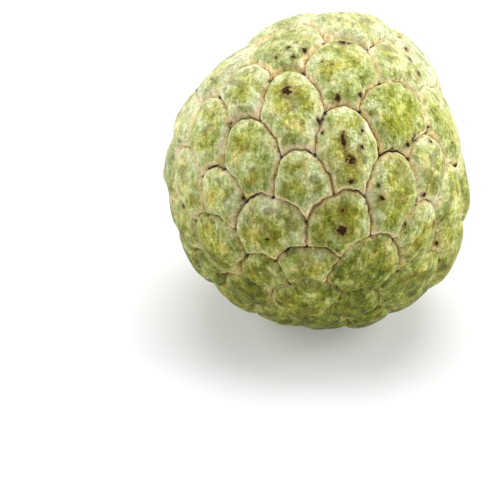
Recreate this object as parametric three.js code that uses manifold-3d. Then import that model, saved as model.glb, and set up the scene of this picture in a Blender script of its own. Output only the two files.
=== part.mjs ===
// A custard apple (Annona squamosa), picked whole and lying on its flank.
//
// The fruit grew as one body: some seventy seed chambers end at its skin, each in a raised
// scale, and one spiral from the stalk to the blossom end places them all. A short woody
// stalk stands in the dip at its upper end.
//
// Millimetres, +Z up. The origin is on the surface that the fruit lies on, under the middle
// of its bounding box. The fruit is shaped in a frame of its own, where the spiral of scales
// winds round +Z with the stalk's end uppermost, and is then tipped over onto its flank.

import * as THREE from "three";
import { ConvexHull } from "three/addons/math/ConvexHull.js";
import { mergeVertices } from "three/addons/utils/BufferGeometryUtils.js";
import Module from "manifold-3d";

// ---- Driving dimensions: millimetres, and degrees where a name says so -------------------

// The body, measured to the seams between the scales.
const WAIST_RADIUS = 42.2; // half the width across the middle
const END_STRETCH = 0.035; // how much further the two ends are, as a share of the radius
const BASIN_DEPTH = 5.5; // the dip round the stalk
const BASIN_SPREAD_DEG = 17;

// Broad swells and hollows that make the body a little lopsided. Latitude is from the waist
// towards the stalk's end, azimuth is round the axis, and a hollow has a negative height.
const SWELLS = [
  { latitudeDeg: -33, azimuthDeg: 17, height: 3.4 },
  { latitudeDeg: 70, azimuthDeg: -92, height: 4.0 },
  { latitudeDeg: 52, azimuthDeg: -154, height: -4.6 },
  { latitudeDeg: 20, azimuthDeg: -3, height: -2.8 },
];
const SWELL_SPREAD_DEG = 32;

// The spiral that places the scales.
const SCALE_COUNT = 73;
const TURN_DEG = -99.516; // from each scale to the next, round the axis
const FIRST_AZIMUTH_DEG = 76.7;
const STALK_END_GROWTH = 0.457; // how much more room the scales have near the stalk
const STRONG_SCALE = 28; // it pushes its neighbours apart and so meets one more of them
const STRONG_SCALE_PUSH = 0.01; // as a share of the radius

// Uneven growth: every scale drifts to one side, and the spiral is squeezed along a slant.
// Shares are of the distance from the middle of the fruit.
const DRIFT_SHARE = 0.173;
const DRIFT_AZIMUTH_DEG = -135.8;
const SQUEEZE_SHARE = 0.134;
const SQUEEZE_LATITUDE_DEG = 11;
const SQUEEZE_AZIMUTH_DEG = 76;

// One scale.
const ARCH_RISE = 0.21; // how far its upper edges bow towards the stalk, per edge length
const CROWN_DROP = 0.16; // how far its crown sits towards the blossom end, per scale length
const SCALE_RELIEF = 3.3; // crown above seam
const RELIEF_VARIATION = 0.16; // share by which scales differ in relief
const SHOULDER_POWER = 2.1; // a higher power makes a steeper shoulder and a flatter top
const LIP_RISE = 0.22; // extra relief on the half of a scale that faces the blossom end

// How finely a scale is divided.
const SEGMENTS_PER_EDGE = 3;
const RING_SHARES = [0.12, 0.34, 0.64]; // rings between the seam, 0, and the crown, 1

// The stalk.
const STALK_FOOT_RADIUS = 4.1;
const STALK_NECK_RADIUS = 3.1;
const STALK_TIP_RADIUS = 3.7;
const STALK_HEIGHT = 5.0; // above its seat
const STALK_SOCKET_DEPTH = 2.5;
const STALK_SIDES = 14;
const FIT_GAP = 0.3; // left free between the stalk and its socket

// How the fruit lies.
const AXIS_ABOVE_FLAT_DEG = 40.0; // the spiral's axis, above the horizontal
const AXIS_HEADING_DEG = 6.9; // the spiral's axis, from +Y towards +X
const FLAT_SPOT_DEPTH = 1.5; // how much of the lowest scales is pressed flat

// ---- Small helpers --------------------------------------------------------------------

const radians = THREE.MathUtils.degToRad;
const degrees = THREE.MathUtils.radToDeg;

// A share from -1 to 1 for each scale, spread evenly by steps of the golden ratio.
const GOLDEN_STEP = (Math.sqrt(5) - 1) / 2;
function scaleVariation(site) {
  return 2 * ((site * GOLDEN_STEP) % 1) - 1;
}

function directionAt(latitudeDeg, azimuthDeg) {
  const latitude = radians(latitudeDeg);
  const azimuth = radians(azimuthDeg);
  return new THREE.Vector3(
    Math.cos(latitude) * Math.cos(azimuth),
    Math.cos(latitude) * Math.sin(azimuth),
    Math.sin(latitude),
  );
}

const drift = directionAt(0, DRIFT_AZIMUTH_DEG).multiplyScalar(DRIFT_SHARE);
const squeezeAxis = directionAt(SQUEEZE_LATITUDE_DEG, SQUEEZE_AZIMUTH_DEG);

// Where uneven growth carries a direction that the spiral gave.
function grown(direction) {
  const alongSqueeze = direction.dot(squeezeAxis);
  const carried = direction.clone().add(drift);
  return carried.addScaledVector(squeezeAxis, -SQUEEZE_SHARE * alongSqueeze).normalize();
}

// The stalk stands where the spiral starts.
const stalkAxis = grown(new THREE.Vector3(0, 0, 1));

// The direction along the skin towards the stalk, at a point of the unit sphere.
function towardsStalk(direction) {
  const rise = direction.dot(stalkAxis);
  return stalkAxis.clone().addScaledVector(direction, -rise).normalize();
}

// ---- The body under the scales ----------------------------------------------------------

const swellDirections = SWELLS.map((swell) => directionAt(swell.latitudeDeg, swell.azimuthDeg));

function bodyRadius(direction) {
  const fromStalkDeg = degrees(direction.angleTo(stalkAxis));
  const basin = BASIN_DEPTH * Math.exp(-((fromStalkDeg / BASIN_SPREAD_DEG) ** 2));
  const stretch = WAIST_RADIUS * END_STRETCH * direction.z ** 2;
  let swell = 0;
  SWELLS.forEach(({ height }, k) => {
    const awayDeg = degrees(direction.angleTo(swellDirections[k]));
    swell += height * Math.exp(-((awayDeg / SWELL_SPREAD_DEG) ** 2));
  });
  return WAIST_RADIUS + stretch + swell - basin;
}

// ---- Where the scales are -----------------------------------------------------------------

// Site 0 is the bare seat of the stalk. The others are the middles of the scales, from the
// stalk to the blossom end, each with a little less room than the one before it.
function scaleSites() {
  const found = [stalkAxis.clone()];
  const g = STALK_END_GROWTH;
  for (let n = 0; n < SCALE_COUNT; n += 1) {
    const share = (n + 0.5) / SCALE_COUNT;
    const height = ((1 + g) ** (1 - share) * (1 - g) ** share - 1) / g;
    found.push(grown(directionAt(degrees(Math.asin(height)), FIRST_AZIMUTH_DEG + TURN_DEG * n)));
  }
  return found;
}

// The hull of the sites says which three scales meet at each corner. The result maps "a>b" to
// the third site of the triangle that runs from a to b, seen from outside.
function meetingScales(sites) {
  const indexOf = new Map(sites.map((point, index) => [point, index]));
  const third = new Map();
  for (const face of new ConvexHull().setFromPoints(sites).faces) {
    const [a, b, c] = [0, 1, 2].map((k) => indexOf.get(face.getEdge(k).head().point));
    third.set(`${a}>${b}`, c).set(`${b}>${c}`, a).set(`${c}>${a}`, b);
  }
  return third;
}

const sites = scaleSites();
const pushing = sites.map((site) => site.clone());
pushing[STRONG_SCALE].multiplyScalar(1 + STRONG_SCALE_PUSH);
const third = meetingScales(pushing);

function corner(a, b, c) {
  return new THREE.Vector3().add(pushing[a]).add(pushing[b]).add(pushing[c]).normalize();
}

// The scales round one scale, in turn.
function neighboursOf(site) {
  const first = sites.findIndex((_, other) => third.has(`${site}>${other}`));
  const ring = [first];
  for (let next = third.get(`${site}>${first}`); next !== first; ) {
    ring.push(next);
    next = third.get(`${site}>${next}`);
  }
  return ring;
}

// The seam between two scales, bowed towards the stalk where it is the upper edge of one.
// It is always worked out from the lower site number, so that both scales get one seam.
function seamBetween(a, b) {
  const [low, high] = a < b ? [a, b] : [b, a];
  const start = corner(low, high, third.get(`${high}>${low}`));
  const end = corner(low, high, third.get(`${low}>${high}`));
  const along = end.clone().sub(start);
  const middle = start.clone().add(end).normalize();
  const across = new THREE.Vector3().crossVectors(along, middle).normalize();
  const up = towardsStalk(middle);
  if (across.dot(up) < 0) across.negate();
  const rise = ARCH_RISE * along.length() * across.dot(up);
  const points = [];
  for (let k = 0; k <= SEGMENTS_PER_EDGE; k += 1) {
    const s = k / SEGMENTS_PER_EDGE;
    const bow = 4 * s * (1 - s) * rise;
    const point = start.clone().addScaledVector(along, s).addScaledVector(across, bow);
    points.push(point.normalize());
  }
  return a < b ? points : points.reverse();
}

// ---- The skin, scale by scale -------------------------------------------------------------

function scaleOutline(site) {
  const outline = [];
  for (const neighbour of neighboursOf(site)) {
    outline.push(...seamBetween(site, neighbour).slice(0, -1));
  }
  return outline;
}

// A point of a scale, given a point of its seam and how far in towards the crown it is.
function skinPoint(seamPoint, share, scale) {
  const direction = seamPoint.clone().lerp(scale.crown, share).normalize();
  const shoulder = 1 - (1 - share) ** SHOULDER_POWER;
  const fromCrown = direction.clone().sub(scale.crown);
  const towardsTip = -fromCrown.dot(scale.up) / scale.halfLength;
  const lip = 1 + LIP_RISE * THREE.MathUtils.clamp(towardsTip, -1, 1);
  const radius = bodyRadius(direction) + scale.relief * shoulder * lip;
  return direction.multiplyScalar(radius);
}

// What the skin's formula needs to know of a scale. The seat of the stalk has no relief.
function describeScale(site, outline) {
  const crown = sites[site].clone();
  if (site === 0) return { crown, up: new THREE.Vector3(1, 0, 0), halfLength: 1, relief: 0 };
  const up = towardsStalk(crown);
  const reach = outline.map((point) => point.dot(up));
  const halfLength = (Math.max(...reach) - Math.min(...reach)) / 2;
  crown.addScaledVector(up, -CROWN_DROP * 2 * halfLength).normalize();
  const relief = SCALE_RELIEF * (1 + RELIEF_VARIATION * scaleVariation(site));
  return { crown, up, halfLength, relief };
}

function fruitSkin() {
  const positions = [];
  const addTriangle = (a, b, c) => positions.push(...a.toArray(), ...b.toArray(), ...c.toArray());
  sites.forEach((_, site) => {
    const outline = scaleOutline(site);
    const scale = describeScale(site, outline);
    const ringAt = (share) => outline.map((point) => skinPoint(point, share, scale));
    const rings = [0, ...RING_SHARES].map(ringAt);
    const crown = skinPoint(outline[0], 1, scale);
    outline.forEach((_, k) => {
      const next = (k + 1) % outline.length;
      for (let r = 1; r < rings.length; r += 1) {
        addTriangle(rings[r - 1][k], rings[r - 1][next], rings[r][next]);
        addTriangle(rings[r - 1][k], rings[r][next], rings[r][k]);
      }
      const inner = rings[rings.length - 1];
      addTriangle(inner[k], inner[next], crown);
    });
  });
  const geometry = new THREE.BufferGeometry();
  geometry.setAttribute("position", new THREE.Float32BufferAttribute(positions, 3));
  return geometry;
}

// ---- The stalk ------------------------------------------------------------------------------

const seatHeight = bodyRadius(stalkAxis);

// Turned from the Y axis that three.js lathes and cylinders stand on to the stalk's axis.
function alongStalk(geometry) {
  const turn = new THREE.Quaternion().setFromUnitVectors(new THREE.Vector3(0, 1, 0), stalkAxis);
  return geometry.applyQuaternion(turn);
}

// A stub of wood: a foot in its socket, a slight waist and a torn, thicker tip.
function stalkGeometry() {
  const foot = seatHeight - STALK_SOCKET_DEPTH + FIT_GAP;
  const tip = seatHeight + STALK_HEIGHT;
  const profile = [
    new THREE.Vector2(0, foot),
    new THREE.Vector2(STALK_FOOT_RADIUS, foot),
    new THREE.Vector2(STALK_FOOT_RADIUS, seatHeight + 0.6),
    new THREE.Vector2(STALK_NECK_RADIUS, seatHeight + STALK_HEIGHT * 0.45),
    new THREE.Vector2(STALK_TIP_RADIUS, tip - 1.2),
    new THREE.Vector2(STALK_TIP_RADIUS * 0.72, tip),
    new THREE.Vector2(0, tip - 0.5),
  ];
  return alongStalk(new THREE.LatheGeometry(profile, STALK_SIDES));
}

function socketGeometry() {
  const bottom = seatHeight - STALK_SOCKET_DEPTH;
  const height = STALK_SOCKET_DEPTH + STALK_HEIGHT;
  const radius = STALK_FOOT_RADIUS + FIT_GAP;
  const geometry = new THREE.CylinderGeometry(radius, radius, height, STALK_SIDES);
  return alongStalk(geometry.translate(0, bottom + height / 2, 0));
}

// ---- Closed solids and cuts -----------------------------------------------------------------

const wasm = await Module();
wasm.setup();

function solidOf(geometry) {
  const bare = geometry.clone();
  bare.deleteAttribute("normal");
  bare.deleteAttribute("uv");
  const merged = mergeVertices(bare, 1e-4);
  const mesh = new wasm.Mesh({
    numProp: 3,
    vertProperties: new Float32Array(merged.attributes.position.array),
    triVerts: new Uint32Array(merged.index.array),
  });
  return new wasm.Manifold(mesh);
}

function geometryOf(solid) {
  const { vertProperties, triVerts } = solid.getMesh();
  const geometry = new THREE.BufferGeometry();
  geometry.setAttribute("position", new THREE.BufferAttribute(vertProperties, 3));
  geometry.setIndex(new THREE.BufferAttribute(triVerts, 1));
  geometry.computeVertexNormals();
  return geometry;
}

// Turned from the fruit's own frame onto its flank: first the axis is tipped towards +Y, and
// then it is swung towards +X.
function layDown(geometry) {
  geometry.rotateX(radians(AXIS_ABOVE_FLAT_DEG - 90));
  return geometry.rotateZ(radians(-AXIS_HEADING_DEG));
}

// ---- Assembly ---------------------------------------------------------------------------------

const socketed = geometryOf(solidOf(fruitSkin()).subtract(solidOf(socketGeometry())));
const lying = layDown(socketed);
const stalk = layDown(geometryOf(solidOf(stalkGeometry())));

lying.computeBoundingBox();
const lowest = lying.boundingBox.min.z;
const floorSize = 4 * WAIST_RADIUS;
const belowFlatSpot = new THREE.BoxGeometry(floorSize, floorSize, floorSize);
belowFlatSpot.translate(0, 0, lowest + FLAT_SPOT_DEPTH - floorSize / 2);
const fruit = geometryOf(solidOf(lying).subtract(solidOf(belowFlatSpot)));

const box = new THREE.Box3();
for (const geometry of [fruit, stalk]) {
  geometry.computeBoundingBox();
  box.union(geometry.boundingBox);
}
const middle = box.getCenter(new THREE.Vector3());
for (const geometry of [fruit, stalk]) geometry.translate(-middle.x, -middle.y, -box.min.z);

const skinMaterial = new THREE.MeshStandardMaterial({
  color: 0xa9b45c,
  roughness: 0.55,
  metalness: 0,
});
const barkMaterial = new THREE.MeshStandardMaterial({
  color: 0x4a3426,
  roughness: 0.85,
  metalness: 0,
});

function namedMesh(name, geometry, material) {
  const mesh = new THREE.Mesh(geometry, material);
  mesh.name = name;
  return mesh;
}

const custardApple = new THREE.Group();
custardApple.name = "custard_apple";
custardApple.add(namedMesh("fruit", fruit, skinMaterial));
custardApple.add(namedMesh("stalk", stalk, barkMaterial));

export default custardApple;
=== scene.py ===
# %% [markdown]
# # A custard apple, grown from one spiral
#
# A custard apple is a cluster of some seventy small fruits that grew into one body. Each of
# them ends at the skin in a raised scale, and one spiral from the stalk to the blossom end
# places them all, as on a pine cone. This lesson grows the fruit in the same order: first
# the net of seams between the scales, then the relief of each scale, then its skin.
#
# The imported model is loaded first. It is a plain faceted fruit of the true size, and it is
# the frame that everything here has to fit.

# %% Loading the frame
import math
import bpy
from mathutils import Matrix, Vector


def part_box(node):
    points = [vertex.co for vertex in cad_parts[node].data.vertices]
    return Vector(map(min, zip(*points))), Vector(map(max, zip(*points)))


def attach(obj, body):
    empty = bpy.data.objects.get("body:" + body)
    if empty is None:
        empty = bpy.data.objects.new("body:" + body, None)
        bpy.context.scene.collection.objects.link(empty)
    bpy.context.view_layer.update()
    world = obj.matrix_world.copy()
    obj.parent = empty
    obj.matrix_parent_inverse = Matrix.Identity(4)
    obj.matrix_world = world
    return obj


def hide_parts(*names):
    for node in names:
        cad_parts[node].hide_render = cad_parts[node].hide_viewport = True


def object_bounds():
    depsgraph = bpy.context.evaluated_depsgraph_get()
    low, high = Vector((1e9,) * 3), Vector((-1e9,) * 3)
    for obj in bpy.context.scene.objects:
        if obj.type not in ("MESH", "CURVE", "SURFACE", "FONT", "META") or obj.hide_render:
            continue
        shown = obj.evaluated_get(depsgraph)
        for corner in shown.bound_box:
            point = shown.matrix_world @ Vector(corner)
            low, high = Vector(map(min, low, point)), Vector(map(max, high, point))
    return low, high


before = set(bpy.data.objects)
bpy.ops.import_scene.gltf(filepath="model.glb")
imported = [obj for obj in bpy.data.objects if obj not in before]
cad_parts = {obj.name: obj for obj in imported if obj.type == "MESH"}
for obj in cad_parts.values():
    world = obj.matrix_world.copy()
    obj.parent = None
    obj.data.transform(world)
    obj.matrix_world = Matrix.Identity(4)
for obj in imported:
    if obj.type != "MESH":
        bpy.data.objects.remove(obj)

from types import SimpleNamespace

import bpy
import numpy as np
from mathutils import Matrix, Vector
from mathutils.bvhtree import BVHTree

MM = 0.001
cad_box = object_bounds()
sides = [round((high - low) / MM, 1) for low, high in zip(*cad_box)]
print("frame nodes:", sorted(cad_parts), "size in mm:", sides)

# %% [markdown]
# ## Writing node trees as formulas
#
# A node tree that works out a shape is a formula drawn as boxes, and built one box at a time
# in a script it is hard to read back. So this small class stands for a wire that comes out of
# a node, and adding or multiplying two wires puts the Math node there. It serves Geometry
# Nodes and shaders alike, as both have Math nodes.

# %% Wires that can be added and multiplied
class Wire:
    """An output socket. A sum or product of wires adds a Math node to their tree."""

    def __init__(self, socket):
        self.socket = socket
        self.tree = socket.id_data

    __add__ = __radd__ = lambda self, other: calculate("ADD", self, other)
    __mul__ = __rmul__ = lambda self, other: calculate("MULTIPLY", self, other)
    __sub__ = lambda self, other: calculate("SUBTRACT", self, other)
    __rsub__ = lambda self, other: calculate("SUBTRACT", other, self)
    __truediv__ = lambda self, other: calculate("DIVIDE", self, other)
    __rtruediv__ = lambda self, other: calculate("DIVIDE", other, self)
    __pow__ = lambda self, other: calculate("POWER", self, other)


def is_vector(value):
    if isinstance(value, Wire):
        return value.socket.type in ("VECTOR", "RGBA")
    return isinstance(value, (tuple, Vector))


def find(sockets, name=None):
    """The socket of that name that the node uses now, or its first one."""
    return next(s for s in sockets if s.enabled and name in (None, s.name))


def feed(socket, value):
    """Joins a wire to a socket, or sets the socket's own value."""
    if isinstance(value, Wire):
        socket.id_data.links.new(value.socket, socket)
    else:
        socket.default_value = value


def set_inputs(node, inputs):
    """Gives a node's named inputs wires or values."""
    for name, value in inputs.items():
        feed(find(node.inputs, name), value)


def add(tree, kind, inputs=None, **settings):
    """Adds a node with its settings and inputs."""
    node = tree.nodes.new(kind)
    for name, value in settings.items():
        setattr(node, name, value)
    set_inputs(node, inputs or {})
    return node


def result(node, name=None):
    return Wire(find(node.outputs, name))


def put(tree, kind, inputs=None, **settings):
    """Adds a node, and returns the wire from its first output."""
    return result(add(tree, kind, inputs, **settings))


def calculate(operation, *values):
    """One Math node, or Vector Math where a value is a vector."""
    tree = next(value.tree for value in values if isinstance(value, Wire))
    vectors = [value for value in values if is_vector(value)]
    node = tree.nodes.new("ShaderNodeVectorMath" if vectors else "ShaderNodeMath")
    if len(vectors) == 1 and operation == "MULTIPLY":
        node.operation = "SCALE"
        feed(node.inputs[0], vectors[0])
        feed(node.inputs["Scale"], next(value for value in values if not is_vector(value)))
        return result(node)
    node.operation = operation
    for socket, value in zip(node.inputs, values):
        feed(socket, value)
    return result(node)


def dot(a, b):
    return calculate("DOT_PRODUCT", a, b)


def parts(vector):
    """The X, Y and Z of a vector, as three wires."""
    node = add(vector.tree, "ShaderNodeSeparateXYZ", {"Vector": vector})
    return [result(node, axis) for axis in "XYZ"]


def combine(x, y, z):
    return put(x.tree, "ShaderNodeCombineXYZ", {"X": x, "Y": y, "Z": z})


def ramp(value, low, high, start=0.0, end=1.0):
    """A smooth rise from start, where the value is low, to end, where it is high."""
    inputs = {"Value": value, "From Min": low, "From Max": high, "To Min": start, "To Max": end}
    return put(value.tree, "ShaderNodeMapRange", inputs, interpolation_type="SMOOTHSTEP")


def bell(value, width):
    """1 where the value is 0, falling away smoothly to each side."""
    share = value / width
    return calculate("EXPONENT", share * share * -1.0)


def noise(place, size, detail=2.0, roughness=0.5, distortion=0.0, seed=0.0):
    """Cloudy noise from 0 to 1, with lumps of that size."""
    inputs = {"Vector": place, "W": seed, "Scale": 1.0 / size, "Detail": detail}
    inputs |= {"Roughness": roughness, "Distortion": distortion}
    return put(place.tree, "ShaderNodeTexNoise", inputs, noise_dimensions="4D")


print("helpers for node trees are ready")

# %% [markdown]
# A Geometry Nodes tree gets its sizes through named inputs. A modifier holds each of them
# under the socket's identifier, and the values go in before the object is first evaluated.
# The plain mesh is then taken off the evaluated object, and the holder goes.

# %% Making a tree and running it once
SOCKETS = {
    float: "NodeSocketFloat",
    int: "NodeSocketInt",
    tuple: "NodeSocketVector",
    bpy.types.Material: "NodeSocketMaterial",
    bpy.types.Object: "NodeSocketObject",
}


def open_inputs(tree, inputs):
    """Gives a tree its named inputs, and returns a wire from each."""
    for label, value in inputs.items():
        kind = SOCKETS[type(value)]
        tree.interface.new_socket(label, in_out="INPUT", socket_type=kind).default_value = value
    entry = tree.nodes.new("NodeGroupInput")
    return {socket.name: Wire(socket) for socket in entry.outputs if socket.name}


def start_tree(name, sizes):
    """A tree with a named input for each size, and a wire from each input."""
    tree = bpy.data.node_groups.new(name, "GeometryNodeTree")
    for way in ("INPUT", "OUTPUT"):
        tree.interface.new_socket("Geometry", in_out=way, socket_type="NodeSocketGeometry")
    return tree, open_inputs(tree, sizes)


def end_tree(geometry, material):
    """Ends a tree: copies become real faces, and they take the material."""
    tree = geometry.tree
    whole = put(tree, "GeometryNodeRealizeInstances", {"Geometry": geometry})
    dressed = put(tree, "GeometryNodeSetMaterial", {"Geometry": whole, "Material": material})
    feed(tree.nodes.new("NodeGroupOutput").inputs[0], dressed)
    return tree


def attribute(tree, name, kind="FLOAT"):
    """What the geometry holds under that name."""
    return put(tree, "GeometryNodeInputNamedAttribute", {"Name": name}, data_type=kind)


def store(geometry, name, value):
    """The geometry, with a value for each point under that name."""
    inputs = {"Geometry": geometry, "Name": name, "Value": value}
    kind = "FLOAT_VECTOR" if is_vector(value) else "FLOAT"
    return put(geometry.tree, "GeometryNodeStoreNamedAttribute", inputs, data_type=kind)


def move(geometry, **how):
    """The geometry, with its points at a new Position or moved by an Offset."""
    return put(geometry.tree, "GeometryNodeSetPosition", {"Geometry": geometry} | how)


def add_object(name, data):
    """Puts an object with that data in the scene."""
    thing = bpy.data.objects.new(name, data)
    bpy.context.collection.objects.link(thing)
    return thing


def run_tree(tree, sizes, start=None):
    """Runs a tree on a mesh, or on nothing, and returns the plain mesh that it makes."""
    holder = add_object(tree.name, start or bpy.data.meshes.new(tree.name))
    modifier = holder.modifiers.new(tree.name, "NODES")
    modifier.node_group = tree
    for item in tree.interface.items_tree:
        if item.in_out == "INPUT" and item.name in sizes:
            modifier[item.identifier] = sizes[item.name]
    depsgraph = bpy.context.evaluated_depsgraph_get()
    evaluated = holder.evaluated_get(depsgraph)
    mesh = bpy.data.meshes.new_from_object(
        evaluated, preserve_all_data_layers=True, depsgraph=depsgraph
    )
    bpy.data.objects.remove(holder)
    return mesh


def read(mesh, name, width=1):
    """An attribute of a mesh as an array, with a row for each point, corner or face."""
    data = mesh.attributes[name].data
    values = np.zeros(len(data) * width, dtype=np.float32)
    data.foreach_get("vector" if width == 3 else "value", values)
    return values.reshape(-1, width) if width > 1 else values


def keep(mesh, name, domain, values):
    """Stores an array on a mesh as a named attribute."""
    values = np.asarray(values, dtype=np.float32)
    kind, field = ("FLOAT_VECTOR", "vector") if values.ndim == 2 else ("FLOAT", "value")
    mesh.attributes.new(name, kind, domain).data.foreach_set(field, values.ravel())


print("trees can be made and run")

# %% [markdown]
# ## The sizes of the fruit
#
# These are the values that the fruit was built from, in its own frame, where the spiral of
# scales winds round +Z with the stalk's end uppermost. The fruit is laid on its flank later.

# %% The fruit's own sizes
WAIST_RADIUS = 42.2 * MM
END_STRETCH = 0.035
BASIN_DEPTH = 5.5 * MM
BASIN_SPREAD_DEG = 17.0
SWELL_SPREAD_DEG = 32.0
SWELLS = (  # latitude and azimuth in degrees, and height
    (-33, 17, 3.4 * MM),
    (70, -92, 4.0 * MM),
    (52, -154, -4.6 * MM),
    (20, -3, -2.8 * MM),
)

SCALE_COUNT = 73
TURN_DEG = -99.516
FIRST_AZIMUTH_DEG = 76.7
STALK_END_GROWTH = 0.457
STRONG_SCALE = 28
STRONG_SCALE_PUSH = 0.01
DRIFT_SHARE = 0.173
DRIFT_AZIMUTH_DEG = -135.8
SQUEEZE_SHARE = 0.134
SQUEEZE_LATITUDE_DEG = 11.0
SQUEEZE_AZIMUTH_DEG = 76.0

ARCH_RISE = 0.21
CROWN_DROP = 0.16
SCALE_RELIEF = 3.3 * MM
RELIEF_VARIATION = 0.16
SHOULDER_POWER = 2.1
LIP_RISE = 0.22

AXIS_ABOVE_FLAT_DEG = 40.0
AXIS_HEADING_DEG = 6.9


def direction_at(latitude_deg, azimuth_deg):
    latitude, azimuth = math.radians(latitude_deg), math.radians(azimuth_deg)
    level = math.cos(latitude)
    return Vector((level * math.cos(azimuth), level * math.sin(azimuth), math.sin(latitude)))


drift = direction_at(0, DRIFT_AZIMUTH_DEG) * DRIFT_SHARE
squeeze_axis = direction_at(SQUEEZE_LATITUDE_DEG, SQUEEZE_AZIMUTH_DEG)
squeezed = Vector((0, 0, 1)) + drift - squeeze_axis * SQUEEZE_SHARE * squeeze_axis.z
stalk_axis = squeezed.normalized()
print("the stalk stands along", [round(share, 3) for share in stalk_axis])

# %% [markdown]
# ## The net of seams
#
# Each scale presses on its neighbours until they meet halfway, which gives shields with four
# to seven sides. Geometry Nodes can grow that net from a count and a turning angle. Mesh Line
# gives one point for each scale, and a formula on its index winds them round a ball. Convex
# Hull joins neighbours with triangles, and Dual Mesh turns each point into a face, which is
# one scale. Two details make the net look grown: the spiral drifts to one side and is
# squeezed along a slant, and one strong scale pushes its neighbours a little apart.

# %% A tree that grows the net
skin_finish = bpy.data.materials.new("custard apple skin")  # its colours come in a later step
NET_SIZES = {
    "Scales": SCALE_COUNT,
    "First azimuth": math.radians(FIRST_AZIMUTH_DEG),
    "Turn": math.radians(TURN_DEG),
    "Growth": STALK_END_GROWTH,
    "Strong scale": STRONG_SCALE,
    "Strong scale push": STRONG_SCALE_PUSH,
    "Drift": tuple(drift),
    "Squeeze axis": tuple(squeeze_axis),
    "Squeeze share": SQUEEZE_SHARE,
    "Material": skin_finish,
}


def net_tree():
    tree, given = start_tree("scale net", NET_SIZES)
    index = put(tree, "GeometryNodeInputIndex")
    position = put(tree, "GeometryNodeInputPosition")

    share = calculate("MAXIMUM", (index - 0.5) / given["Scales"], 0.0)
    growth = given["Growth"]
    height = ((growth + 1) ** (1 - share) * (1 - growth) ** share - 1) / growth
    azimuth = given["First azimuth"] + given["Turn"] * (index - 1)
    radius = calculate("SQRT", 1 - height * height)
    across = radius * calculate("COSINE", azimuth)
    along = radius * calculate("SINE", azimuth)
    wound = combine(across, along, height)
    axis = given["Squeeze axis"]
    carried = wound + given["Drift"] - axis * (dot(wound, axis) * given["Squeeze share"])
    strong = calculate("COMPARE", index, given["Strong scale"], 0.5)
    push = strong * given["Strong scale push"] + 1.0

    line = put(tree, "GeometryNodeMeshLine", {"Count": given["Scales"] + 1})
    sites = move(line, Position=calculate("NORMALIZE", carried) * push)
    hull = put(tree, "GeometryNodeConvexHull", {"Geometry": sites})
    asked = {"Geometry": sites, "Sample Position": position}
    hull = store(hull, "scale", put(tree, "GeometryNodeSampleNearest", asked))
    hull = store(hull, "middle", position)
    shields = put(tree, "GeometryNodeDualMesh", {"Mesh": hull})
    return end_tree(move(shields, Position=calculate("NORMALIZE", position)), given["Material"])


net = run_tree(net_tree(), NET_SIZES)
sides_of = sorted(len(face.vertices) for face in net.polygons)
print(len(net.polygons), "cells, with", sides_of[0], "to", sides_of[-1], "sides")

# %% [markdown]
# ## Weaving the skin over the net
#
# Every cell is filled with rings, from the seam in to the crown, still on a ball of radius 1.
# This part is a plain loop, because each cell has its own number of sides and both cells of a
# seam have to share its points, or the skin would tear. The seams come first. A seam wavers a
# little, and it bows towards the stalk where it is the upper edge of a scale, like a shingle's.

# %% Seams
SEAM_WAVES = (2.2, 4.1)  # how many waves there are along one seam
PHASE_SPREAD = 7  # how unlike the waves of neighbouring seams are


def unit(rows):
    return rows / np.linalg.norm(rows, axis=-1, keepdims=True)


def towards_stalk(direction):
    """The direction along the skin towards the stalk."""
    axis = np.array(stalk_axis)
    return unit(axis - direction * np.dot(direction, axis))


def seam_points(start, end, segments, waver):
    """The points inside one seam, and how squarely it faces the stalk, from 0 to 1."""
    along = end - start
    middle = unit(start + end)
    across = unit(np.cross(along, middle))
    facing = np.dot(across, towards_stalk(middle))
    rise = ARCH_RISE * np.linalg.norm(along) * facing
    share = np.arange(1, segments)[:, None] / segments
    phase = math.tau * (start[0] + end[1]) * PHASE_SPREAD
    slow, quick = (math.tau * waves * share for waves in SEAM_WAVES)
    wave = np.sin(slow + phase) + 0.7 * np.sin(quick - phase)
    bow = 4 * share * (1 - share) * rise + waver * wave * np.sin(math.pi * share)
    return unit(start + along * share + across * bow), abs(facing)


def weave_seams(segments, waver):
    """Starts the skin with all corners and seam points, and what each of them keeps."""
    corners = np.array([vertex.co for vertex in net.vertices])
    woven = SimpleNamespace(corners=corners, points=list(corners), seams={}, facing={}, faces=[])
    corner_gap = [0.0] * len(corners)
    for edge in net.edges:
        a, b = edge.vertices
        inside, facing = seam_points(corners[a], corners[b], segments, waver)
        first = len(woven.points)
        woven.seams[a, b] = list(range(first, first + len(inside)))
        woven.seams[b, a] = woven.seams[a, b][::-1]
        woven.points.extend(inside)
        ends = np.linalg.norm(inside[:, None, :] - corners[[a, b]], axis=-1)
        corner_gap.extend(ends.min(axis=1))
        for point in (a, b, *woven.seams[a, b]):
            woven.facing[point] = max(woven.facing.get(point, 0), facing)
    woven.rows = [[0, 0, 0, gap, woven.facing[k], 0] for k, gap in enumerate(corner_gap)]
    woven.corner_rows = []
    return woven


print("the net has", len(net.edges), "seams")

# %% [markdown]
# Next each cell gets its rings. They crowd together near the seam, where the surface turns
# fastest. Each point keeps what the next steps need to know about its place: how far in it
# is, how far it is from the seam, and where it lies on its own scale. A distance that blends
# all the seams gives a rounded top. The nearest seam alone would give a roof with ridges.

# %% Rings
GOLDEN_STEP = (math.sqrt(5) - 1) / 2
ROUNDING_POWER = 2.5
POINT_VALUES = ("share", "fill", "seam_distance", "corner_distance", "arch", "relief")
scale_numbers = read(net, "scale").round().astype(int)
scale_middles = unit(read(net, "middle", 3).astype(float))


def scale_variation(number):
    """A share from -1 to 1 for each scale, spread evenly by steps of the golden ratio."""
    return 2 * ((number * GOLDEN_STEP) % 1) - 1


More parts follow.
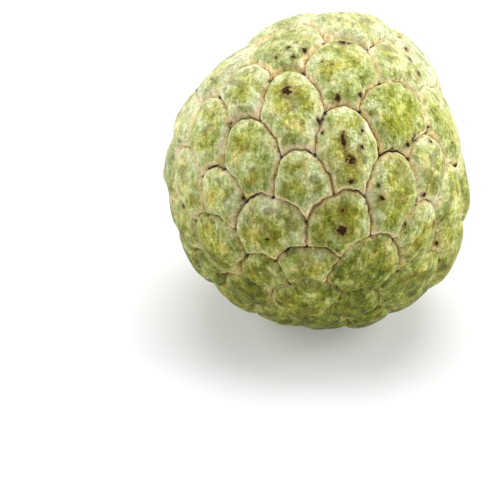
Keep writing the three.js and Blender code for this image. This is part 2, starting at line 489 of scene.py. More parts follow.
def distance_to_seams(points, outline, seam_count):
    """How far each point is from each seam of an outline, and the outline point nearest it."""
    along = np.roll(outline, -1, axis=0) - outline
    gap = points[:, None, :] - outline[None, :, :]
    share = np.clip((gap * along).sum(-1) / (along * along).sum(-1), 0, 1)
    distance = np.linalg.norm(gap - share[..., None] * along, axis=-1)
    by_seam = distance.reshape(len(points), seam_count, -1).min(axis=2)
    return by_seam, distance.argmin(axis=1)


def rounded_distance(by_seam):
    """A distance to all seams at once. It is 0 on each of them and has no crease between two."""
    return (np.maximum(by_seam, 1e-6) ** -ROUNDING_POWER).sum(axis=1) ** (-1 / ROUNDING_POWER)


def fill_cell(woven, face, ring_shares):
    """Adds the rings and faces of one cell to the skin."""
    number = scale_numbers[face.index]
    crown = scale_middles[face.index]
    loop = list(face.vertices)
    if np.dot(face.normal, crown) < 0:
        loop.reverse()
    outline = []
    for a, b in zip(loop, loop[1:] + loop[:1]):
        outline += [a, *woven.seams[a, b]]
    edge_points = np.array([woven.points[i] for i in outline])

    if number:
        up = towards_stalk(crown)
        half_length = np.ptp(edge_points @ up) / 2
        crown = unit(crown - up * CROWN_DROP * 2 * half_length)
        relief = 1 + RELIEF_VARIATION * scale_variation(number)
    else:  # the seat of the stalk, which is no scale
        up, half_length, relief = np.array((1.0, 0.0, 0.0)), 1.0, 0.0

    ring_points = [unit(edge_points + (crown - edge_points) * share) for share in ring_shares]
    inside = np.vstack([*ring_points, crown])
    new = np.arange(len(woven.points), len(woven.points) + len(inside))
    rings = [outline, *new[:-1].reshape(-1, len(outline)).tolist()]
    by_seam, nearest = distance_to_seams(inside, edge_points, len(loop))
    fill = rounded_distance(by_seam)
    shares = np.append(np.repeat(ring_shares, len(outline)), 1.0)
    arch = [woven.facing[outline[k]] for k in nearest]
    ends = np.linalg.norm(inside[:, None, :] - woven.corners[loop], axis=-1).min(axis=1)
    kept = (shares, fill / fill.max(), by_seam.min(axis=1), ends, arch, np.full(len(new), relief))
    woven.points.extend(inside)
    woven.rows.extend(np.column_stack(kept))

    steps = [(k, (k + 1) % len(outline)) for k in range(len(outline))]
    bands = zip(rings, rings[1:])
    faces = [(out[a], out[b], into[b], into[a]) for out, into in bands for a, b in steps]
    faces += [(rings[-1][a], rings[-1][b], int(new[-1])) for a, b in steps]
    woven.faces += faces
    offset = np.array([woven.points[i] for corners in faces for i in corners]) - crown
    along = offset @ up
    tip = np.clip(-along / half_length, -1, 1)
    place = (offset @ np.cross(crown, up), along, tip, np.full(len(offset), number))
    woven.corner_rows.append(np.column_stack(place))


print("each point keeps:", ", ".join(POINT_VALUES))

# %% [markdown]
# The cells together make one skin on the ball. Its mesh keeps their values as named
# attributes, where the next node trees can read them.

# %% The whole skin on a ball
def weave(segments, ring_shares, waver=0.0):
    """The mesh of the skin on a ball of radius 1, with its attributes."""
    woven = weave_seams(segments, waver)
    for face in net.polygons:
        fill_cell(woven, face, ring_shares)
    mesh = bpy.data.meshes.new("skin on a ball")
    mesh.from_pydata([tuple(point) for point in woven.points], [], woven.faces)
    for name, values in zip(POINT_VALUES, np.array(woven.rows).T):
        keep(mesh, name, "POINT", values)
    places = np.vstack(woven.corner_rows)
    keep(mesh, "place", "CORNER", places[:, :3])
    keep(mesh, "scale_number", "CORNER", places[:, 3])
    return mesh


SEGMENTS_PER_SEAM = 14
RING_COUNT = 15
RING_CROWDING = 1.6
SEAM_WAVER = 0.2 * MM / WAIST_RADIUS
ring_shares = [(k / RING_COUNT) ** RING_CROWDING for k in range(1, RING_COUNT)]
ball_skin = weave(SEGMENTS_PER_SEAM, ring_shares, SEAM_WAVER)
print("woven skin:", len(ball_skin.vertices), "points,", len(ball_skin.polygons), "faces")

# %% [markdown]
# ## Raising the scales
#
# The relief is one formula for every point of the ball: the body's radius in that direction,
# and the height of the scale at that place. The body is a ball with a basin round the stalk
# and four broad swells. A scale climbs steeply from its seam, levels out like a cushion, and
# its lower half is lifted a little, as the lip of a shingle is. On top of that comes what age
# and growth leave: soft lumps and wrinkles, a hairline crack along some seams and a thin
# raised rim. A Geometry Nodes tree suits a formula like this, because each size is a named
# input that can be turned while looking at the result.

# %% A tree that raises the scales
RELIEF_SIZES = {
    "Waist radius": WAIST_RADIUS,
    "End stretch": WAIST_RADIUS * END_STRETCH,
    "Stalk axis": tuple(stalk_axis),
    "Basin depth": BASIN_DEPTH,
    "Basin spread": math.radians(BASIN_SPREAD_DEG),
    "Swell spread": math.radians(SWELL_SPREAD_DEG),
    "Scale relief": SCALE_RELIEF,
    "Shoulder power": SHOULDER_POWER,
    "Lip rise": LIP_RISE,
    "Rounding": 0.0,
    "Edge share": 0.0,
    "Edge width": 0.9 * MM,
    "Lump height": 0.0,
    "Lump size": 6.0 * MM,
    "Lumps start": 3.0 * MM,
    "Wrinkle height": 0.0,
    "Wrinkle size": 2.2 * MM,
    "Crack depth": 0.0,
    "Crack width": 0.35 * MM,
    "Crack spread": 7.0 * MM,
    "Crack seed": 14.8,
    "Rim height": 0.0,
    "Rim place": 0.9 * MM,
    "Material": skin_finish,
}
SWELL_NAMES = [f"Swell {k + 1}" for k in range(len(SWELLS))]
for swell, (latitude, azimuth, height) in zip(SWELL_NAMES, SWELLS):
    RELIEF_SIZES[f"{swell} direction"] = tuple(direction_at(latitude, azimuth))
    RELIEF_SIZES[f"{swell} height"] = height


def relief_tree():
    tree, given = start_tree("scale relief", RELIEF_SIZES)
    direction = put(tree, "GeometryNodeInputPosition")

    def near(axis, spread):
        return bell(calculate("ARCCOSINE", dot(direction, given[axis])), given[spread])

    pole = parts(direction)[2]
    body = given["Waist radius"] + given["End stretch"] * pole * pole
    body = body - given["Basin depth"] * near("Stalk axis", "Basin spread")
    for swell in SWELL_NAMES:
        body = body + given[f"{swell} height"] * near(f"{swell} direction", "Swell spread")

    tip = parts(attribute(tree, "place", "FLOAT_VECTOR"))[2]
    away = attribute(tree, "seam_distance") * given["Waist radius"]
    share = attribute(tree, "share")
    inside = share + (attribute(tree, "fill") - share) * given["Rounding"]
    dome = 1 - (1 - inside) ** given["Shoulder power"]
    edge = 1 - calculate("EXPONENT", away / given["Edge width"] * -1.0)
    shoulder = dome + (edge - dome) * given["Edge share"]
    lifted = shoulder * (tip * given["Lip rise"] + 1)
    scale = given["Scale relief"] * attribute(tree, "relief") * lifted

    where = direction * given["Waist radius"]
    soft = {"Vector": where, "Scale": 1 / given["Lump size"], "Detail": 3.0}
    lumps = (put(tree, "ShaderNodeTexNoise", soft) - 0.5) * given["Lump height"]
    wrinkles = (noise(where, given["Wrinkle size"], detail=3.0) - 0.5) * given["Wrinkle height"]
    patchy = noise(where, given["Crack spread"], detail=3.0, seed=given["Crack seed"])
    crack = ramp(attribute(tree, "arch") * 0.1 + patchy, 0.6, 0.72)
    groove = given["Crack depth"] * crack * bell(away, given["Crack width"])
    rim = given["Rim height"] * bell(away - given["Rim place"], given["Rim place"] * 0.55)
    fine = (lumps + wrinkles) * ramp(away, 0.0, given["Lumps start"]) + rim - groove

    marked = store(given["Geometry"], "crack", crack)
    return end_tree(move(marked, Position=direction * (body + scale + fine)), given["Material"])


relief = relief_tree()
FINE_RELIEF = {
    "Rounding": 1.0,
    "Edge share": 0.3,
    "Edge width": 0.5 * MM,
    "Lump height": 0.9 * MM,
    "Wrinkle height": 0.5 * MM,
    "Crack depth": 0.4 * MM,
    "Rim height": 0.12 * MM,
}
skin = run_tree(relief, RELIEF_SIZES | FINE_RELIEF, ball_skin)
print("raised skin:", len(skin.polygons), "faces")

# %% [markdown]
# ## Laying the fruit down in the frame
#
# The frame's own fruit was made by the same rule with far fewer facets. So a coarse fruit
# tells where the frame holds it: the highest corner of one box belongs on that of the other.
# What is lower than the surface is then pressed flat onto it, as the ripe scales under a
# fruit are. The print says how well the two agree, away from the surface and from the stalk.

# %% The fruit's place
COARSE_SEGMENTS = 3
COARSE_RINGS = [0.12, 0.34, 0.64]
SOCKET_REACH = 14 * MM
PRESSED_REACH = 1 * MM
MEASURED_STEP = 40

lay_down = Matrix.Rotation(math.radians(-AXIS_HEADING_DEG), 4, "Z")
lay_down = lay_down @ Matrix.Rotation(math.radians(AXIS_ABOVE_FLAT_DEG - 90), 4, "X")


def press_flat(mesh):
    """Presses what lies below the surface, at height 0, up onto it."""
    for vertex in mesh.vertices:
        vertex.co.z = max(vertex.co.z, 0.0)


coarse = run_tree(relief, RELIEF_SIZES, weave(COARSE_SEGMENTS, COARSE_RINGS))
coarse.transform(lay_down)
coarse_points = read(coarse, "position", 3)
offset = Vector(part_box("fruit")[1]) - Vector(coarse_points.max(axis=0))
place_fruit = Matrix.Translation(offset) @ lay_down
skin.transform(place_fruit)
press_flat(skin)

frame_points = read(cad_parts["fruit"].data, "position", 3)
moved = coarse_points + np.array(offset)
from_stalk = np.linalg.norm(moved - np.mean(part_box("stalk"), axis=0), axis=1)
open_skin = moved[(moved[:, 2] > PRESSED_REACH) & (from_stalk > SOCKET_REACH)]
gaps = [np.linalg.norm(frame_points - point, axis=1).min() for point in open_skin[::MEASURED_STEP]]
print("the frame's fruit and this one agree to", round(float(max(gaps)) / MM, 3), "mm")

# %% [markdown]
# ## The camera
#
# The camera looks down on the fruit at the angle of a person at a table. It comes before the
# marks on the skin, because some of those are placed as seen through it.

# %% Camera
FRAME_WIDTH = 491
FRAME_HEIGHT = 500
SENSOR = 36.0
FOCAL_PX = 2034
FRUIT_PIXEL = (318, 172)
CAMERA_ELEVATION_DEG = 33
CAMERA_DISTANCE = 0.6
fruit_middle = Vector((0.0012, -0.0003, 0.0437))

elevation = math.radians(CAMERA_ELEVATION_DEG)
towards_camera = Vector((0, -math.cos(elevation), math.sin(elevation)))
right = Vector((1, 0, 0))
above = towards_camera.cross(right)
camera_place = fruit_middle + towards_camera * CAMERA_DISTANCE
beside = (FRUIT_PIXEL[0] - FRAME_WIDTH / 2) / FOCAL_PX * CAMERA_DISTANCE
higher = (FRAME_HEIGHT / 2 - FRUIT_PIXEL[1]) / FOCAL_PX * CAMERA_DISTANCE


def point_at(thing, place, target):
    """Puts a camera or a lamp at a place and turns it to a target."""
    thing.location = place
    thing.rotation_euler = (target - Vector(place)).to_track_quat("-Z", "Y").to_euler()


camera = add_object("camera", bpy.data.cameras.new("camera"))
point_at(camera, camera_place, fruit_middle - right * beside - above * higher)
camera.data.sensor_width = SENSOR
camera.data.lens = FOCAL_PX * SENSOR / FRAME_HEIGHT
bpy.context.scene.camera = camera
print("camera at", [round(share, 3) for share in camera_place])

# %% [markdown]
# ## Scabs
#
# A ripe fruit carries corky scabs and dark spots, from half a millimetre to two or three
# across. The larger ones on the near side are listed one by one: a ray from the camera through
# each place finds the skin.

# %% Scabs listed one by one
NEAR_SCABS = (  # millimetres right of and above the fruit's middle, and radius
    (-10.3, 36.6, 0.8), (-5.5, 36.2, 1.0), (-8.6, 34.2, 0.8), (-8.8, 41.8, 0.6),
    (-13.5, 33.8, 0.7), (-14.0, 39.2, 0.6), (-10.3, 24.2, 1.7), (-9.6, 23.2, 1.0),
    (6.0, 38.6, 1.4), (8.0, 38.4, 0.8), (4.6, 22.4, 1.1), (11.3, 23.4, 1.0),
    (24.4, 37.2, 0.7), (21.5, 36.2, 0.5), (25.6, 34.2, 1.0), (28.2, 30.0, 1.0),
    (27.2, 10.7, 1.4), (25.6, 9.2, 0.8), (6.7, 12.0, 0.7), (6.3, 10.5, 0.8),
    (6.8, 9.0, 0.8), (6.7, 7.5, 0.7), (12.1, 13.1, 0.7), (12.0, 8.1, 0.8),
    (-0.8, 15.4, 1.0), (0.6, 12.2, 0.7), (9.0, 4.2, 1.7), (31.5, 14.4, 0.6),
    (38.6, 10.0, 0.6), (39.9, 3.4, 0.7), (32.5, 5.4, 0.6), (21.1, 7.9, 0.6),
    (17.6, -3.0, 0.7), (18.5, -6.8, 1.0), (30.8, -5.5, 0.7), (7.0, -16.5, 1.8),
    (28.9, -19.6, 0.7),
)
corners = [vertex.co for vertex in skin.vertices]
surface = BVHTree.FromPolygons(corners, [tuple(face.vertices) for face in skin.polygons])
hits = []
for across_mm, up_mm, radius_mm in NEAR_SCABS:
    target = fruit_middle + right * (across_mm * MM) + above * (up_mm * MM)
    hit = surface.ray_cast(camera_place, (target - camera_place).normalized())[0]
    if hit is not None:
        hits.append((hit, radius_mm * MM))
scab_dots = bpy.data.meshes.new("placed scabs")
scab_dots.from_pydata([hit for hit, _ in hits], [], [])
keep(scab_dots, "size", "POINT", [radius for _, radius in hits])
placed_scabs = add_object("placed scabs", scab_dots)
print(len(hits), "scabs placed by eye")

# %% [markdown]
# The rest are scattered by Distribute Points on Faces with a fixed seed. The tree then stores
# on every point of the skin how far the nearest scab is, in units of that scab's size, and
# lifts a thin crust there. The material reads the same value, so colour and crust agree.

# %% A tree that adds the scabs
SCAB_SIZES = {
    "Placed": placed_scabs,
    "Spacing": 7.0 * MM,
    "Density": 9000.0,
    "Seed": 11,
    "Smallest": 0.25 * MM,
    "Largest": 0.8 * MM,
    "Crust": 0.16 * MM,
    "Crust grain": 0.8 * MM,
    "Material": skin_finish,
}


def scab_tree():
    tree, given = start_tree("scabs", SCAB_SIZES)
    position = put(tree, "GeometryNodeInputPosition")

    chance = {"Mesh": given["Geometry"], "Distance Min": given["Spacing"],
              "Density Max": given["Density"], "Seed": given["Seed"]}
    scatter = add(tree, "GeometryNodeDistributePointsOnFaces", chance, distribute_method="POISSON")
    spread = {"Min": given["Smallest"], "Max": given["Largest"], "Seed": given["Seed"]}
    random = put(tree, "FunctionNodeRandomValue", spread)
    scattered = store(result(scatter), "size", random)
    join = add(tree, "GeometryNodeJoinGeometry", {"Geometry": scattered})
    placed = result(add(tree, "GeometryNodeObjectInfo", {"Object": given["Placed"]}), "Geometry")
    feed(join.inputs[0], put(tree, "GeometryNodeMeshToPoints", {"Mesh": placed}))
    dots = result(join)
    asked = {"Geometry": dots, "Sample Position": position}
    near = put(tree, "GeometryNodeSampleNearest", asked)

    def of_nearest(value, kind):
        sampled = {"Geometry": dots, "Value": value, "Index": near}
        return put(tree, "GeometryNodeSampleIndex", sampled, data_type=kind)

    centre = of_nearest(position, "FLOAT_VECTOR")
    scab = calculate("DISTANCE", position, centre) / of_nearest(attribute(tree, "size"), "FLOAT")
    rough = noise(position, given["Crust grain"], detail=3.0)
    lift = (1 - ramp(scab, 0.6, 1.2)) * rough * given["Crust"] * 2.0
    marked = store(given["Geometry"], "scab", scab)
    crusted = move(marked, Offset=put(tree, "GeometryNodeInputNormal") * lift)
    return end_tree(crusted, given["Material"])


skin = run_tree(scab_tree(), SCAB_SIZES, skin)
press_flat(skin)
bpy.data.objects.remove(placed_scabs)
print("skin with scabs:", len(skin.polygons), "faces")

# %% [markdown]
# ## Colours, and effects that two materials share
#
# A colour is written here as a screen shows it and turned into the linear value that a shader
# needs. Two effects are used by the skin and by the bark of the stalk, so each of them is a
# node group with named inputs: a cloudy mask, which says where one colour gives way to
# another, and a scatter of small specks. Each material gives them colours of its own.

# %% Colours and shared masks
FRAY_SIZE = 0.6 * MM
SPECULAR_LEVEL = 0.15  # no gloss: skin, bark and paper are all matt


def srgb(red, green, blue):
    """The linear colour of a screen colour, whose parts go from 0 to 255."""
    shares = [value / 255 for value in (red, green, blue)]
    linear = [s / 12.92 if s <= 0.04045 else ((s + 0.055) / 1.055) ** 2.4 for s in shares]
    return (*linear, 1.0)


def blend(factor, below, above):
    """The colour below where the factor is 0, and the colour above where it is 1."""
    inputs = {"Factor": factor, "A": below, "B": above}
    return put(factor.tree, "ShaderNodeMix", inputs, data_type="RGBA")


def fall(value, low, high):
    """A smooth fall from 1, where the value is low, to 0, where it is high."""
    return ramp(value, low, high, 1.0, 0.0)


def shade_between(value, palette):
    """A colour read off an even palette, from its first shade at 0 to its last at 1."""
    node = add(value.tree, "ShaderNodeValToRGB", {"Fac": value})
    elements = node.color_ramp.elements
    while len(elements) < len(palette):
        elements.new(0.5)
    for k, (element, shade) in enumerate(zip(elements, palette)):
        element.position = k / (len(palette) - 1)
        element.color = srgb(*shade)
    return result(node, "Color")


def start_group(name, inputs):
    """A shader group with a named input for each entry and one output, Mask."""
    tree = bpy.data.node_groups.new(name, "ShaderNodeTree")
    tree.interface.new_socket("Mask", in_out="OUTPUT", socket_type="NodeSocketFloat")
    return tree, open_inputs(tree, inputs)


def end_group(mask):
    feed(mask.tree.nodes.new("NodeGroupOutput").inputs["Mask"], mask)
    return mask.tree


def use(group, place, **inputs):
    """Puts a shared group in the place's own material, and returns its mask."""
    named = {"Place": place} | {label.capitalize(): value for label, value in inputs.items()}
    return put(place.tree, "ShaderNodeGroup", named, node_tree=group)


def cloud_group():
    inputs = {"Place": (0.0, 0.0, 0.0), "Size": 0.003, "Shift": 0.0, "Level": 0.5, "Blur": 0.1}
    tree, given = start_group("cloudy mask", inputs)
    field = {"roughness": 0.45, "distortion": 0.25, "seed": given["Shift"]}
    clouds = noise(given["Place"], given["Size"], **field)
    level, blur = given["Level"], given["Blur"]
    return end_group(ramp(clouds, level - blur, level + blur))


def speck_group():
    inputs = {"Place": (0.0, 0.0, 0.0), "Spacing": 0.002, "Radius": 0.2, "Share": 0.3}
    tree, given = start_group("specks", inputs)
    place, share = given["Place"], given["Share"]
    cells = add(tree, "ShaderNodeTexVoronoi", {"Vector": place, "Scale": 1 / given["Spacing"]})
    frayed = (noise(place, FRAY_SIZE) - 0.5) * 0.3
    dot_mask = fall(result(cells, "Distance") + frayed, 0.0, given["Radius"])
    pick = parts(result(cells, "Color"))[0]
    return end_group(dot_mask * fall(pick, share - 0.02, share + 0.02))


cloudy_mask = cloud_group()
specks = speck_group()


def open_material(material, roughness):
    """Opens a material. Returns its shader, and the place of each point."""
    material.use_nodes = True
    shader = material.node_tree.nodes["Principled BSDF"]
    set_inputs(shader, {"Roughness": roughness, "Specular IOR Level": SPECULAR_LEVEL})
    return shader, result(add(material.node_tree, "ShaderNodeTexCoord"), "Object")


def add_bump(shader, strength, depth, height):
    """Fine relief that is too small for the mesh."""
    inputs = {"Strength": strength, "Distance": depth, "Height": height}
    set_inputs(shader, {"Normal": put(height.tree, "ShaderNodeBump", inputs)})


print("shared groups:", cloudy_mask.name, "and", specks.name)

# %% [markdown]
# ## What the skin's colours depend on
#
# Seen close, the skin is one mottled surface that runs from olive to nearly white. So one
# value, how pale the skin is at a point, is worked out first. It is a sum of noise of several
# sizes: broad clouds, fibres that run along each scale, flecks and a fine grain. Painted shade
# darkens the fruit's lower part and the tip of each scale, and a painted sheen lightens the
# skin turned away from the camera.
#
# The masks that follow use what the skin's points keep: how far the seam, the corner and the
# nearest scab are, and where the point lies on its own scale. Each scale also gets its own
# share of depth, hue and width of rim, from its number on the spiral.

# %% The values that the colours are mixed by
# Painted sheen: skin turned away from this side, which faces roughly towards the camera, is drawn
# paler and greyer.
CAMERA_SIDE = (0.15, -0.98, 0.1)
OWN_STEPS = (0.4185, 0.7325, 0.6715)  # shares of a turn, unlike each other, from scale to scale
LOW_SHADE_MM = (12, 72)  # all shaded below the first height, all open above the second
MIDDLE_PALENESS = 0.55


def skin_values(where):
    """What the skin's colours depend on, as wires. Distances are in millimetres."""
    def kept(name, output="Fac"):
        return result(add(where.tree, "ShaderNodeAttribute", attribute_name=name), output)

    at = SimpleNamespace(where=where)
    beside, along, at.tip = parts(kept("place", "Vector"))
    at.number = kept("scale_number")
    at.away = kept("seam_distance") * (WAIST_RADIUS / MM)
    at.corner_away = kept("corner_distance") * (WAIST_RADIUS / MM)
    at.crack = kept("crack")
    at.scab = kept("scab")
    own = [calculate("FRACT", at.number * step) - 0.5 for step in OWN_STEPS]
    at.own_depth, at.own_hue, at.own_rim = own

    # Fibres run along each scale, so they are noise on the scale's own coordinates.
    fibre_place = combine(beside, along * 0.3, at.number * 0.37)
    at.fibre = noise(fibre_place, 0.018, detail=4.0, roughness=0.6, distortion=0.2) - 0.5
    at.grain = noise(where, 0.7 * MM, detail=3.0, roughness=0.7) - 0.5
    at.fleck = noise(where, 1.5 * MM, detail=4.0, roughness=0.6) - 0.5
    at.drift = noise(where, 3.0 * MM, detail=4.0, roughness=0.6) - 0.5
    mottle = noise(where, 5.0 * MM, detail=4.0, roughness=0.65, distortion=0.3) - 0.5

    height = parts(where)[2] / MM
    # Painted shade: the skin darkens towards the bottom of the fruit.
    at.underside = fall(height + at.drift * 20, *LOW_SHADE_MM)
    outwards = calculate("NORMALIZE", where - tuple(fruit_middle))
    # Painted sheen: paler, waxier and greyer where the skin turns away from the camera.
    at.sheltered = fall(dot(outwards, CAMERA_SIDE) + at.drift * 0.5, -0.1, 0.5) * 0.55
    at.inner = ramp(at.away + at.drift * 3.0, 0.8, 3.4)

    clouds = mottle * 1.5 + at.fibre * 0.6 + at.fleck * 0.3 + at.grain * 0.6
    # Painted light and shade: paler away from the camera, darker low down, and a little lighter at
    # the stalk-side end of each scale, so its tip is darker.
    sides = at.sheltered * 0.08 - at.underside * 0.29 + fall(at.tip, -0.9, 0.3) * 0.04
    at.pale = clouds + sides + at.own_depth * 0.2 + MIDDLE_PALENESS
    return at


print("each scale has", len(OWN_STEPS), "shares of its own")

# %% [markdown]
# ## The faces of the scales
#
# Two palettes turn the same pale value into a colour, so a cloud or a fibre runs on unbroken
# from one to the other. Waxy skin is a soft pale green, and bare skin a stronger yellow-green.
# Broad soft masks choose between them: the heart of a scale is rubbed bare, and a ring near
# its edge keeps its wax. Patches of warmer and of olive skin lie over both. Painted shade makes
# the fruit's lower part barer, warmer and more olive, and a painted sheen makes the skin turned
# away from the camera waxier, paler and greyer.

# %% Two palettes and the masks between them
WAXY_SKIN = ((70, 80, 6), (124, 138, 46), (178, 188, 114), (211, 219, 172), (232, 236, 206))
BARE_SKIN = ((58, 64, 0), (112, 120, 10), (165, 170, 60), (205, 206, 122), (232, 231, 180))
WARMER = (1.1, 0.95, 0.82)
OLIVE = srgb(100, 96, 8)
PAINTED_SHEEN_GREY = srgb(240, 228, 216)


def face_colour(at):
    waxy_ring = bell(at.away + at.drift * 5.0 - 2.4, 1.4)
    level = 0.48 - at.own_depth * 0.1
    heart = use(cloudy_mask, at.where, size=6.0 * MM, shift=20.0, level=level, blur=0.13)
    heart = heart * at.inner * (1 - waxy_ring * 0.6)
    # Painted shade and sheen: the bare palette gains low on the fruit, the waxy one away from the
    # camera.
    bareness = heart * (1 - at.sheltered * 0.5) + at.underside * 0.5
    colour = blend(bareness, shade_between(at.pale, WAXY_SKIN), shade_between(at.pale, BARE_SKIN))

    # Painted shade: warm and olive patches spread further low on the fruit.
    level = 0.57 - at.own_hue * 0.1 - at.underside * 0.06
    warm = use(cloudy_mask, at.where, size=3.6 * MM, shift=3.0, level=level, blur=0.13)
    colour = blend(warm, colour, colour * WARMER)
    level = 0.58 - at.own_depth * 0.1 - at.underside * 0.08
    olive = use(cloudy_mask, at.where, size=3.4 * MM, shift=12.0, level=level, blur=0.06)
    colour = blend(olive * at.inner * 0.6, colour, OLIVE)
    # Painted sheen: a pale grey veil over the skin turned away from the camera.
    return blend(at.sheltered * 0.25, colour, PAINTED_SHEEN_GREY)


print("palettes of", len(WAXY_SKIN), "and", len(BARE_SKIN), "shades")

# %% [markdown]
# ## Dried rims, seams and cracks
#
# The free edge of a scale dries to a pale tan rim of uneven width, widest at the corners. It
# has a palette of its own, read by the same pale value, and a broken cream line runs just
# inside the seam. The seam itself is a thin brown line, and it is nearly black where the skin
# has split and where three scales meet.

# %% The edge of each scale
DRIED_RIM = ((118, 92, 8), (178, 154, 58), (220, 196, 108), (246, 220, 162), (252, 234, 206))
CREAM = srgb(255, 238, 196)
SEAM_BROWN = srgb(146, 80, 38)
CRACK_BROWN = srgb(70, 26, 8)
NODE_BROWN = srgb(62, 34, 14)


def rim_mask(at, patchy):
    """1 on the dried rim of each scale, falling to 0 on its face."""
    free = ramp(at.tip * 0.5 + patchy * 1.8, -0.2, 0.3)
    near_corner = fall(at.corner_away, 0.8, 5.0)
    width = free * (near_corner * 1.4 + at.own_rim * 0.6 + 0.2)
    # Painted shade: the rim narrows low on the fruit.
    width = width + at.drift * 3.0 + 0.35 - at.underside * 0.5
    return fall(at.away - width - at.grain * 0.6, -0.9, 0.9)


def with_edges(at, colour, rim, patchy):
    dried = shade_between(at.pale + 0.26, DRIED_RIM)
    # Painted shade: the rim and the cream line fade low on the fruit.
    colour = blend(rim * (0.9 - at.underside * 0.3), colour, dried)
    cream = bell(at.away - 0.7 + at.grain * 0.5, 0.35) * ramp(patchy, -0.12, 0.1, 0.3, 1.0)
    colour = blend(cream * (0.45 - at.underside * 0.45), colour, CREAM)
    colour = colour * (at.grain * 0.9 + at.fleck * 0.8 + at.fibre * 0.7 + 1.03)

    line = fall(at.away + at.grain * 0.25, 0.0, 0.16)
    colour = blend(line * 0.7, colour, SEAM_BROWN)
    split = fall(at.away + at.grain * 0.6 - at.crack * 0.12, 0.0, 0.2) * ramp(at.crack, 0.3, 0.8)
    colour = blend(split * 0.95, colour, CRACK_BROWN)
    node = fall(at.corner_away + at.drift * 3.4 + at.grain * 0.8, 0.1, 0.8)
    return blend(node * 0.9, colour, NODE_BROWN)


print("rims have", len(DRIED_RIM), "shades")

# %% [markdown]
# ## Spots, and the whole material
#
# Each scab is a dark ragged crust with an olive-brown stain round it, and fine specks lie
# between the scabs. The seat of the stalk, cell 0 of the net, is bare corky skin. The skin is
# matt, so its highlights are broad and weak, and a little sheen stands for the wax. The finest
# relief, too small for the mesh, is a bump made from the same grain, flecks and fibres.

# %% The skin's material
STAIN = srgb(118, 98, 20)
SCAB_CRUST = srgb(60, 31, 8)
SPECK = srgb(88, 84, 28)
CORKY_SEAT = srgb(142, 118, 72)
SKIN_ROUGHNESS = 0.52

shader, where = open_material(skin_finish, SKIN_ROUGHNESS)
set_inputs(shader, {"Sheen Weight": 0.15, "Sheen Roughness": 0.25})
at = skin_values(where)
patchy = noise(where, 9.0 * MM) - 0.5
rim = rim_mask(at, patchy)
colour = with_edges(at, face_colour(at), rim, patchy)

ragged = at.scab + (noise(where, 0.9 * MM, detail=3.0) - 0.5) * 1.9
crust = fall(ragged, 0.6, 1.05)
colour = blend(fall(ragged, 0.9, 2.4) * 0.6, colour, STAIN)
colour = blend(crust, colour, SCAB_CRUST)
fine = use(specks, where, spacing=1.5 * MM, radius=0.3, share=0.22)
colour = blend(fine * at.inner * 0.7, colour, SPECK)
colour = blend(fall(at.number, 0.2, 0.6) * 0.9, colour, CORKY_SEAT)
roughness = rim * 0.15 + crust * 0.3 + SKIN_ROUGHNESS
set_inputs(shader, {"Base Color": colour, "Roughness": roughness})
add_bump(shader, 1.0, 0.7 * MM, at.grain * 0.5 + at.fleck * 1.2 + at.fibre * 0.5)
print("skin material has", len(skin_finish.node_tree.nodes), "nodes")

# %% [markdown]
# ## The stalk
#
# What is left of the stalk is a stub of dark wood that stands in the dip at the fruit's upper
# end, snapped off a little above it. Its foot goes down into the fruit. The relief tree, run
# on one point, tells where the skin is on the stalk's axis, so no formula is written twice.

# %% Where the stalk stands
STALK_ABOVE_SEAT = 4.7 * MM
STALK_BELOW_SEAT = 2.1 * MM

axis_point = bpy.data.meshes.new("point on the stalk's axis")
axis_point.from_pydata([tuple(stalk_axis)], [], [])
seat = run_tree(relief, RELIEF_SIZES, axis_point).vertices[0].co
foot = place_fruit @ (seat - stalk_axis * STALK_BELOW_SEAT)
top = place_fruit @ (seat + stalk_axis * STALK_ABOVE_SEAT)
print("the stalk's foot is", round(foot.z / MM, 1), "mm above the surface")

# %% [markdown]
# The stalk is a tube that follows a short line, so it suits a curve: a line is cut into
# steps, each step gets its radius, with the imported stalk's waist and thicker tip, and Curve
# to Mesh sweeps a circle along it. Ridges of bark run down its sides, and its end is torn.

# %% A tree that grows the stalk
bark_finish = bpy.data.materials.new("stalk bark")
STALK_SIZES = {
    "Foot": tuple(foot),
    "Tip": tuple(top),
    "Foot radius": 4.0 * MM,
    "Neck radius": 3.0 * MM,
    "Tip radius": 3.6 * MM,
    "Bark depth": 0.35 * MM,
    "Ridge size": 1.3 * MM,
    "Knob size": 2.6 * MM,
    "Torn depth": 0.9 * MM,
    "Torn size": 1.6 * MM,
    "Steps": 40,
    "Corners round": 72,
    "Material": bark_finish,
}


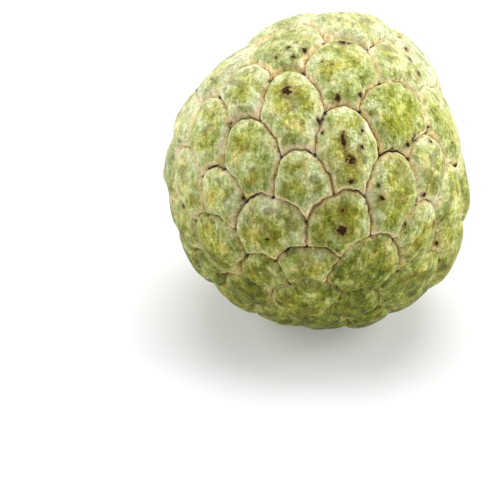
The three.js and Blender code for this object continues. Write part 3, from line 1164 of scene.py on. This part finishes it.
def stalk_tree():
    tree, given = start_tree("bark stalk", STALK_SIZES)
    ends = {"Start": given["Foot"], "End": given["Tip"]}
    line = {"Curve": put(tree, "GeometryNodeCurvePrimitiveLine", ends), "Count": given["Steps"]}
    steps = put(tree, "GeometryNodeResampleCurve", line)
    along = result(add(tree, "GeometryNodeSplineParameter"), "Factor")
    neck = given["Neck radius"]
    radius = given["Foot radius"] + (neck - given["Foot radius"]) * ramp(along, 0.2, 0.5)
    radius = radius + (given["Tip radius"] - neck) * ramp(along, 0.55, 0.92)
    rounded = calculate("SQRT", 1.04 - ramp(along, 0.9, 1.0) * 0.6)
    round_line = {"Resolution": given["Corners round"], "Radius": 1.0}
    circle = put(tree, "GeometryNodeCurvePrimitiveCircle", round_line)
    swept = {"Curve": store(steps, "along", along), "Profile Curve": circle}
    swept |= {"Scale": radius * rounded, "Fill Caps": True}
    tube = put(tree, "GeometryNodeCurveToMesh", swept)

    position = put(tree, "GeometryNodeInputPosition")
    axis = calculate("NORMALIZE", given["Tip"] - given["Foot"])
    flattened = position - axis * (dot(position - given["Foot"], axis) * 0.8)
    ridges = noise(flattened, given["Ridge size"], detail=4.0, roughness=0.6, distortion=0.3)
    knobs = noise(position, given["Knob size"])
    step = attribute(tree, "along")
    bark = (ridges + knobs - 1.0) * given["Bark depth"] * ramp(step, 0.12, 0.25) * 2.0
    torn = (noise(position, given["Torn size"], detail=3.0) - 0.6) * given["Torn depth"] * 2.0
    torn = axis * torn * ramp(step, 0.9, 1.0)
    rough = move(tube, Offset=put(tree, "GeometryNodeInputNormal") * bark + torn)
    return end_tree(rough, given["Material"])


stalk = run_tree(stalk_tree(), STALK_SIZES)
print("stalk:", len(stalk.polygons), "faces")

# %% [markdown]
# The bark is dark brown with grey-tan ridges, and it uses the same cloudy mask and specks as
# the skin, pulled long along the stalk.

# %% The bark's material
BARK_HOLLOW = srgb(74, 52, 34)
BARK_RIDGE = srgb(134, 110, 78)
BARK_SPECK = srgb(40, 27, 18)

shader, where = open_material(bark_finish, roughness=0.8)
axis = (top - foot).normalized()
lengthwise = where - dot(where, axis) * 0.75 * axis
clouds = use(cloudy_mask, lengthwise, size=1.2 * MM, shift=2.0, level=0.5, blur=0.1)
fine = use(specks, where, spacing=1.0 * MM, radius=0.35, share=0.4)
colour = blend(fine * 0.8, blend(clouds, BARK_HOLLOW, BARK_RIDGE), BARK_SPECK)
set_inputs(shader, {"Base Color": colour})
add_bump(shader, 0.6, 0.3 * MM, clouds)
print("bark material has", len(bark_finish.node_tree.nodes), "nodes")

# %% [markdown]
# ## Putting the pieces in the scene
#
# Each finished mesh becomes an object at the origin. It rides on the fruit's body and stands
# in for its node of the frame.

# %% Placing the pieces
def finish_piece(name, mesh, node):
    """Puts a finished mesh in the scene, in the place of a node of the frame."""
    mesh.shade_smooth()
    piece = add_object(name, mesh)
    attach(piece, "root")
    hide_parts(node)
    print(name, "has", sum(len(face.vertices) - 2 for face in mesh.polygons), "triangles")


finish_piece("fruit_skin", skin, "fruit")
finish_piece("bark_stalk", stalk, "stalk")

# %% [markdown]
# ## The studio
#
# The fruit lies on white paper that glows a little, as if a lamp stood under it. The room is
# bright all round, like a light tent, so shadows stay soft. One wide softbox above the fruit
# gives the scales their shading, and a smaller one at each side brightens the flanks.

# %% Floor and lights
FLOOR_CORNERS = ((-2, -2, 0), (2, -2, 0), (2, 2, 0), (-2, 2, 0))
WHITE = (1, 1, 1, 1)
PAPER_COLOUR = (0.72, 0.73, 0.74, 1)
PAPER_GLOW = 0.2
ROOM_LIGHT = 0.28
SOFTBOXES = (  # name, place, side in metres and power in watts
    ("overhead softbox", (0.05, 0.3, 0.95), 0.9, 10.5),
    ("left softbox", (-0.9, 0.2, 0.45), 0.7, 6.5),
    ("right softbox", (0.9, 0.1, 0.45), 0.7, 8.6),
)

floor_mesh = bpy.data.meshes.new("floor")
floor_mesh.from_pydata(FLOOR_CORNERS, [], [(0, 1, 2, 3)])
paper = bpy.data.materials.new("white paper")
paper_shader, _ = open_material(paper, roughness=0.8)
glow = {"Emission Color": WHITE, "Emission Strength": PAPER_GLOW}
set_inputs(paper_shader, {"Base Color": PAPER_COLOUR} | glow)
floor_mesh.materials.append(paper)
floor = add_object("floor", floor_mesh)

world = bpy.data.worlds.new("light tent")
bpy.context.scene.world = world
world.use_nodes = True
room = {"Color": WHITE, "Strength": ROOM_LIGHT}
set_inputs(world.node_tree.nodes["Background"], room)
for name, place, side, power in SOFTBOXES:
    lamp = add_object(name, bpy.data.lights.new(name, "AREA"))
    lamp.data.size = side
    lamp.data.energy = power
    point_at(lamp, place, fruit_middle)
bpy.context.scene.view_settings.view_transform = "Standard"
print("lit by", len(SOFTBOXES), "softboxes and the", world.name)
